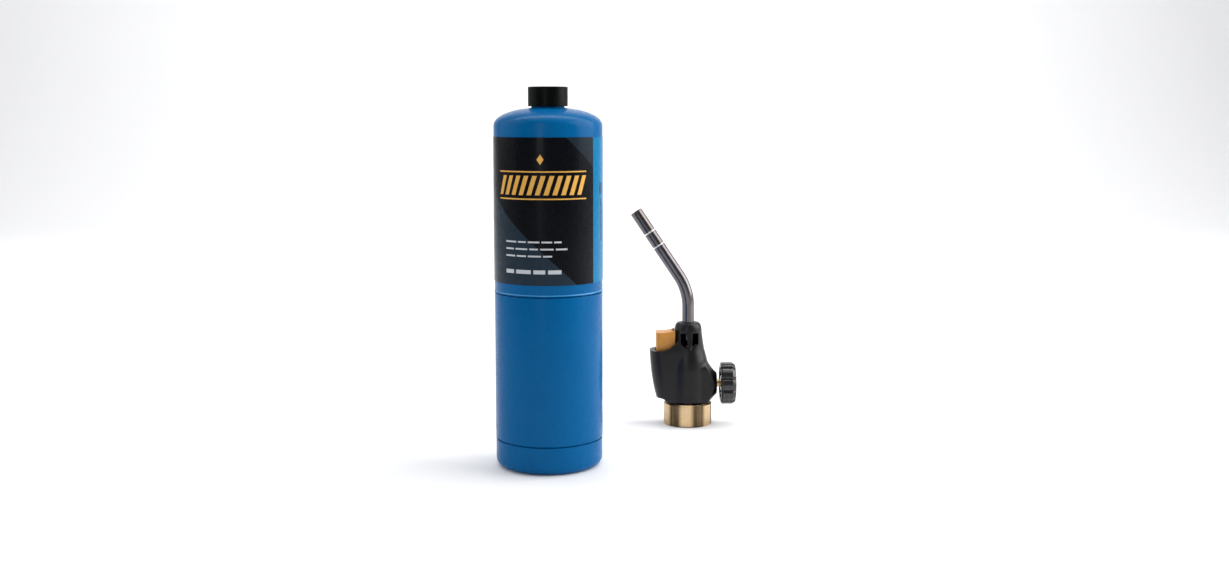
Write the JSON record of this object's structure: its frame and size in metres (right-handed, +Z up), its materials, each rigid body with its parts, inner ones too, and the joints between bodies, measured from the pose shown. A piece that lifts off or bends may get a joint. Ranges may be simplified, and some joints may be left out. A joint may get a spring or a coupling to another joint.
{
  "type": "propane torch",
  "caption": "Hand torch kit: slim upright fuel cylinder with its screw cap on, and a self-igniting torch head with bent burn tube, push button and flow knob standing beside it.",
  "frame": {"origin": "on the standing surface, under the centre of the kit's bounding box", "axes": "+Z up along the cylinder's axis, +X from the cylinder towards the head's flow knob, +Y from the cylinder back to the head"},
  "size_m": [0.1782, 0.1762, 0.2613],
  "materials": {
    "blue_paint": "gloss enamel",
    "label": "printed film, gloss",
    "cap_plastic": "moulded, satin gloss",
    "brass": "turned",
    "steel": "drawn",
    "tube_steel": "dark, polished",
    "rubber": "plain",
    "housing_plastic": "fine spark texture",
    "orange_plastic": "moulded, satin",
    "knob_plastic": "moulded, gloss",
    "igniter_plastic": "moulded",
    "ceramic": "unglazed",
    "lead_insulation": "silicone"
  },
  "bodies": {
    "cylinder": {"cylinder_upper_shell": "blue_paint", "cylinder_lower_shell": "blue_paint", "cylinder_foot_cup": "blue_paint", "cylinder_label": "label", "cylinder_valve_neck": "brass", "cylinder_valve_core": "brass", "cylinder_valve_spring": "steel", "cylinder_valve_washer": "rubber", "cylinder_relief_valve": "brass"},
    "dust_cap": {"cylinder_dust_cap": "cap_plastic"},
    "valve_pin": {"cylinder_valve_pin": "steel"},
    "head": {"inlet_collar": "brass", "inlet_seal": "rubber", "valve_body": "brass", "depressor_pin": "brass", "inlet_filter": "steel", "gas_jet": "brass", "burn_tube": "tube_steel", "flame_holder": "brass", "electrode_insulator": "ceramic", "spark_electrode": "steel", "ignition_lead": "lead_insulation", "housing_front": "housing_plastic", "housing_back": "housing_plastic", "housing_screw_1": "steel", "housing_screw_2": "steel", "housing_screw_3": "steel", "button_spring": "steel", "piezo_body": "igniter_plastic", "stem_seal_ring": "rubber", "packing_nut": "brass"},
    "button": {"ignition_button": "orange_plastic", "piezo_plunger": "igniter_plastic"},
    "needle": {"valve_needle": "steel"},
    "knob": {"valve_stem": "brass", "flow_knob": "knob_plastic", "knob_screw": "steel"}
  },
  "joints": [
    {"name": "cap_lift", "type": "slide", "parent": "cylinder", "child": "dust_cap", "axis": [0, 0, 1], "range_m": [0, 0.045]},
    {"name": "pin_press", "type": "slide", "parent": "cylinder", "child": "valve_pin", "axis": [0, 0, -1], "range_m": [0, 0.0015], "stiffness_N_per_m": 1000, "springref_m": -0.002, "deforming": ["cylinder_valve_spring"]},
    {"name": "head_lift", "type": "slide", "parent": "cylinder", "child": "head", "axis": [0, 0, 1], "range_m": [0, 0.3]},
    {"name": "button_press", "type": "slide", "parent": "head", "child": "button", "axis": [0, 0, -1], "range_m": [0, 0.007], "stiffness_N_per_m": 1200, "springref_m": -0.002, "deforming": ["button_spring"]},
    {"name": "needle_travel", "type": "slide", "parent": "head", "child": "needle", "axis": [1, 0, 0], "range_m": [0, 0.0012]},
    {"name": "knob_turn", "type": "hinge", "parent": "needle", "child": "knob", "pos_m": [0.0518, 0.0694, 0.0318], "axis": [1, 0, 0], "range_deg": [0, 540]}
  ],
  "couplings": [
    {"joint": "knob_turn", "follows": "needle_travel", "rad_per_m": 7854}
  ]
}
